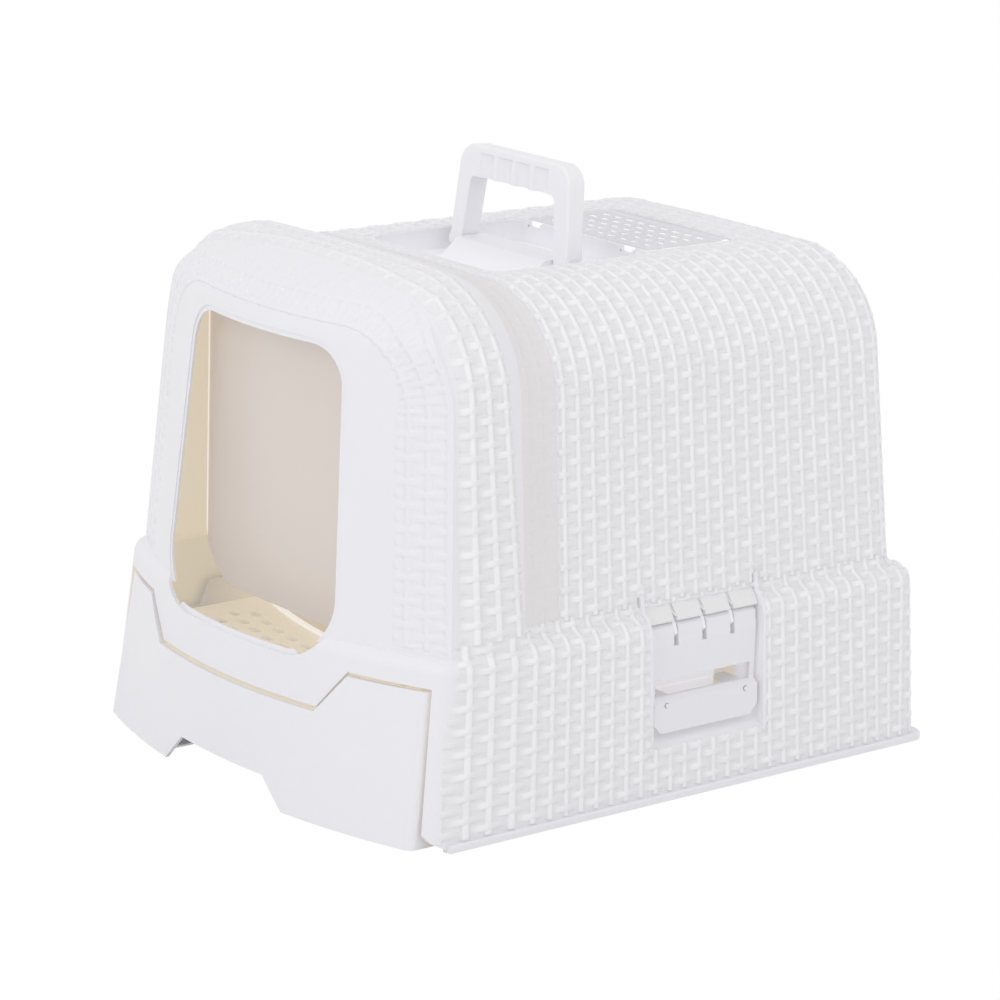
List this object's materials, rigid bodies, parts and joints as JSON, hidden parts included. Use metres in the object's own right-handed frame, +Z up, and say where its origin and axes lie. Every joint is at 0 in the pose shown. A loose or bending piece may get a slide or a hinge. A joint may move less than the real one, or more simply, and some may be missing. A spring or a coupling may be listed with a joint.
{
  "type": "litter box",
  "caption": "Hooded cat litter box with a woven-look hood, swing flap, fold-down carrying handle, vented filter lid, side latches and a slide-out drawer with a sieve plate.",
  "frame": {"origin": "on the floor, under the middle of the box that bounds the whole litter box with its handle up", "axes": "-Y towards the doorway and the drawer front, +X towards the long side on the viewer's right when facing the doorway, +Z up"},
  "size_m": [0.381, 0.474, 0.4067],
  "materials": {
    "hood_plastic": "satin",
    "handle_plastic": "satin",
    "cover_plastic": "satin",
    "door_plastic": "frosted",
    "pin_plastic": "satin",
    "filter_foam": "matte",
    "latch_plastic": "satin",
    "tub_plastic": "satin",
    "foot_rubber": "matte",
    "drawer_plastic": "satin",
    "sieve_plastic": "satin"
  },
  "bodies": {
    "base": {"base_tub": "tub_plastic", "rubber_feet": "foot_rubber", "hood_shell": "hood_plastic", "carbon_filter": "filter_foam", "flap_pivot_right": "pin_plastic", "flap_pivot_left": "pin_plastic", "latch_pin_right": "pin_plastic", "latch_pin_left": "pin_plastic"},
    "flap": {"flap_door": "door_plastic"},
    "handle": {"carry_handle": "handle_plastic"},
    "filter_lid": {"filter_cover": "cover_plastic"},
    "right_latch": {"latch_right": "latch_plastic"},
    "left_latch": {"latch_left": "latch_plastic"},
    "drawer": {"drawer_tray": "drawer_plastic", "sieve_plate": "sieve_plastic"}
  },
  "joints": [
    {"name": "flap_swing", "type": "hinge", "parent": "base", "child": "flap", "pos_m": [0, -0.1775, 0.326], "axis": [1, 0, 0], "range_deg": [-6, 80]},
    {"name": "handle_fold", "type": "hinge", "parent": "base", "child": "handle", "pos_m": [0, 0.004, 0.3384], "axis": [1, 0, 0], "range_deg": [0, 93]},
    {"name": "filter_lid_hinge", "type": "hinge", "parent": "base", "child": "filter_lid", "pos_m": [0, 0.1414, 0.3406], "axis": [-1, 0, 0], "range_deg": [0, 80]},
    {"name": "right_latch_hinge", "type": "hinge", "parent": "base", "child": "right_latch", "pos_m": [0.1726, 0.034, 0.1126], "axis": [0, -1, 0], "range_deg": [0, 70]},
    {"name": "left_latch_hinge", "type": "hinge", "parent": "base", "child": "left_latch", "pos_m": [-0.1726, 0.034, 0.1126], "axis": [0, 1, 0], "range_deg": [0, 70]},
    {"name": "drawer_slide", "type": "slide", "parent": "base", "child": "drawer", "axis": [0, -1, 0], "range_m": [0, 0.33]}
  ]
}
